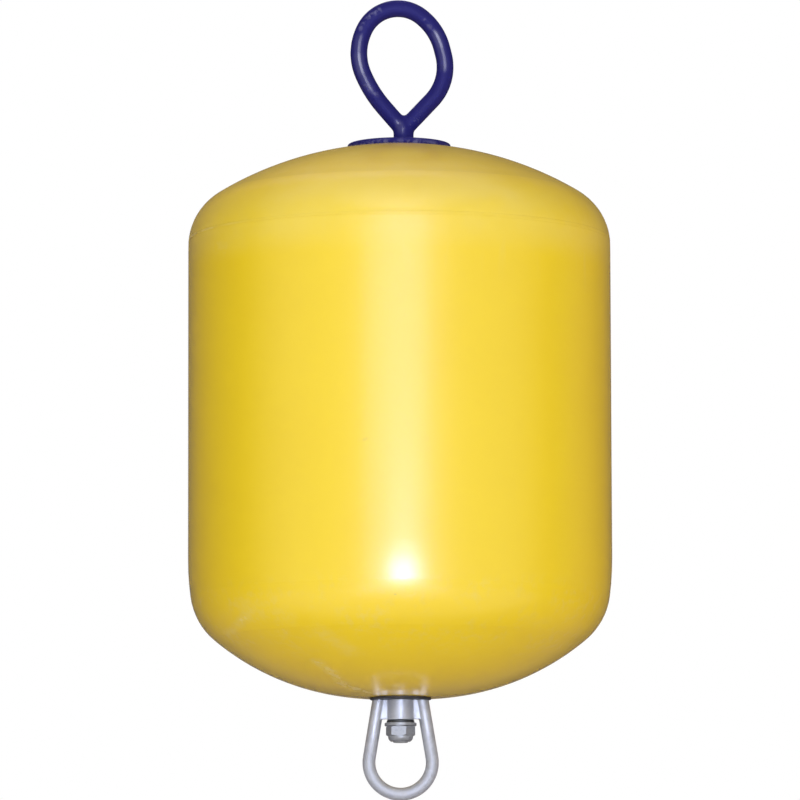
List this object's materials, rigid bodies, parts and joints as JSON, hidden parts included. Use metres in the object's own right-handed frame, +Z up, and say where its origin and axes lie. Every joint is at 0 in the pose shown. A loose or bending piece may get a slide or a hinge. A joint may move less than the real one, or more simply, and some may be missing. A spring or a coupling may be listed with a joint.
{
  "type": "mooring buoy",
  "caption": "Drum-shaped yellow mooring buoy with shallow domed ends, a blue bent-bar pick-up eye on a top plate and a free-turning galvanised swivel eye below.",
  "frame": {"origin": "on the rod's axis at half the float's height, which is the working waterline", "axes": "+Z up along the rod towards the pick-up eye; the eye and the swivel's bow lie in the XZ plane"},
  "size_m": [0.4, 0.3998, 0.7617],
  "materials": {
    "float_yellow": "glossy moulded skin",
    "blue_coating": "thick glossy dipped coating",
    "galvanised_rod": "galvanised",
    "galvanised_forging": "hot-dip galvanised forging",
    "zinc_hardware": "dull zinc plate",
    "black_rubber": "matte",
    "black_plastic": "satin",
    "nylon": "satin"
  },
  "bodies": {
    "buoy": {"float_body": "float_yellow", "top_plate": "blue_coating", "mooring_eye": "blue_coating", "through_rod": "galvanised_rod", "bottom_pad": "black_rubber", "thrust_washer": "black_plastic", "flat_washer": "zinc_hardware", "lock_nut": "zinc_hardware", "nut_insert": "nylon"},
    "swivel": {"swivel_eye": "galvanised_forging"}
  },
  "joints": [
    {"name": "swivel_spin", "type": "hinge", "parent": "buoy", "child": "swivel", "pos_m": [0, 0, -0.272], "axis": [0, 0, 1], "continuous": true}
  ]
}
